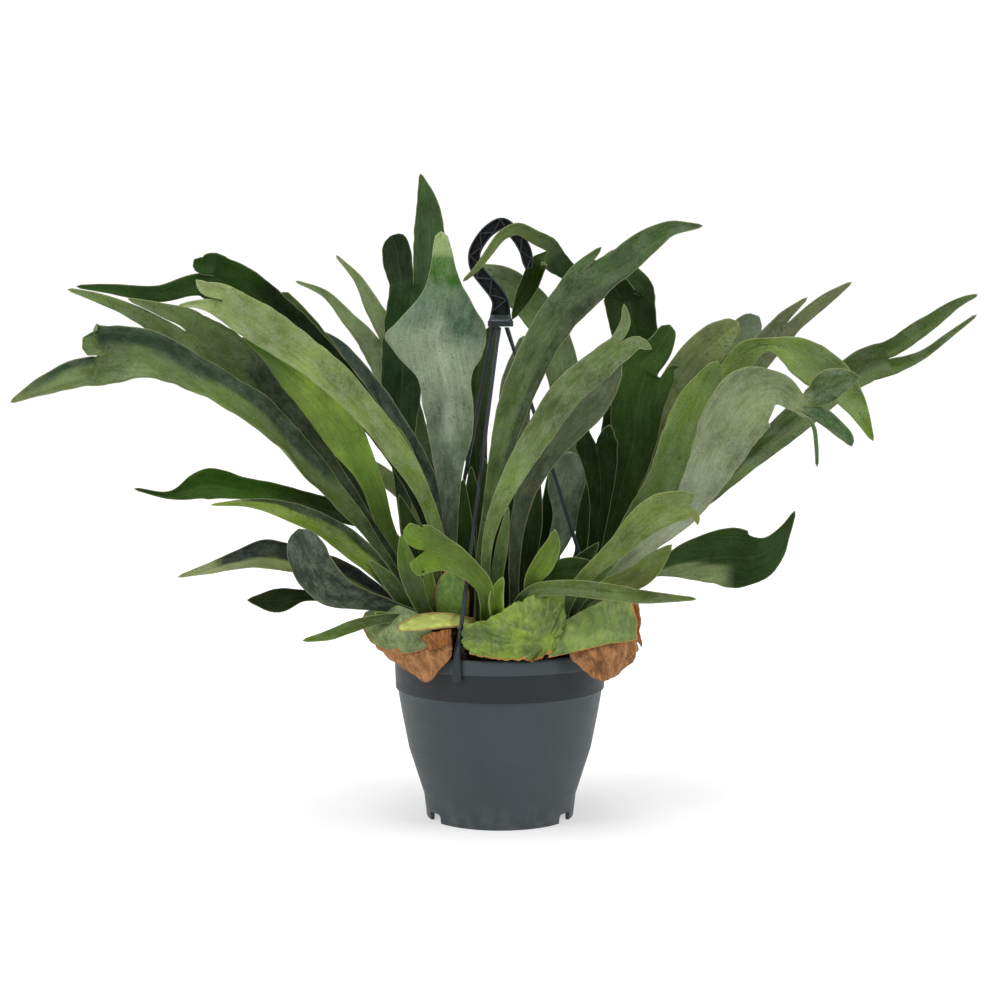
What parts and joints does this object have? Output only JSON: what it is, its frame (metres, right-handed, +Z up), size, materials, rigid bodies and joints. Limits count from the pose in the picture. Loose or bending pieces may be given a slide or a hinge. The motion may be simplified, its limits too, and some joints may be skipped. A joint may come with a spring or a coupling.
{
  "type": "potted staghorn fern",
  "caption": "Staghorn fern with long forked antler fronds and clasping shield fronds, rooted in a tapered hanging pot with a moulded three-arm hook hanger.",
  "frame": {"origin": "centre of the pot's base circle, on the plane of the foot ring, which is under the middle of the plant to within 6 mm", "axes": "+Z up the pot's axis to the hanger's hook, -Y the plant's fullest side, where one hanger arm clips over the rim a little to the left"},
  "size_m": [0.878, 0.4747, 0.6487],
  "materials": {
    "pot_plastic": "matt dark grey",
    "hanger_plastic": "satin charcoal",
    "potting_mix": "crumbly bark and peat",
    "rhizome": "fuzzy brown scales and roots",
    "frond": "leathery green with a pale felt bloom",
    "shield": "yellow-green with a net of veins",
    "dead_shield": "dry brown, papery"
  },
  "bodies": {
    "root": {"pot": "pot_plastic", "potting_mix": "potting_mix", "hanger_arm_back": "hanger_plastic", "hanger_arm_front": "hanger_plastic", "hanger_arm_right": "hanger_plastic", "hanger_hook": "hanger_plastic", "rhizome_left": "rhizome", "rhizome_middle": "rhizome", "rhizome_right": "rhizome", "shield_front": "shield", "shield_left": "shield", "shield_right": "shield", "shield_rolled": "shield", "shield_upright": "shield", "dead_shield_left": "dead_shield", "dead_shield_right": "dead_shield", "frond_back_antler": "frond", "frond_back_left_pale": "frond", "frond_back_tall": "frond", "frond_blue_front": "frond", "frond_crumpled": "frond", "frond_dark_wavy": "frond", "frond_front_forked": "frond", "frond_front_strap": "frond", "frond_grey_round": "frond", "frond_left_blue": "frond", "frond_left_bright": "frond", "frond_left_dark": "frond", "frond_left_forked": "frond", "frond_left_inner": "frond", "frond_left_long": "frond", "frond_left_pale": "frond", "frond_left_round": "frond", "frond_left_small": "frond", "frond_low_left_back": "frond", "frond_low_left_broad": "frond", "frond_low_left_light": "frond", "frond_low_left_point": "frond", "frond_low_left_short": "frond", "frond_low_left_twotone": "frond", "frond_middle_dark": "frond", "frond_middle_grey": "frond", "frond_olive_inner": "frond", "frond_right_arching": "frond", "frond_right_blunt": "frond", "frond_right_bright": "frond", "frond_right_dark": "frond", "frond_right_forked": "frond", "frond_right_green": "frond", "frond_right_grey": "frond", "frond_right_long": "frond", "frond_right_low_blade": "frond", "frond_right_low_dark": "frond", "frond_right_olive": "frond", "frond_right_pale": "frond", "frond_right_upper": "frond", "frond_strap_front": "frond", "frond_strap_lower": "frond", "frond_young_front": "frond", "frond_young_left": "frond"}
  },
  "joints": []
}
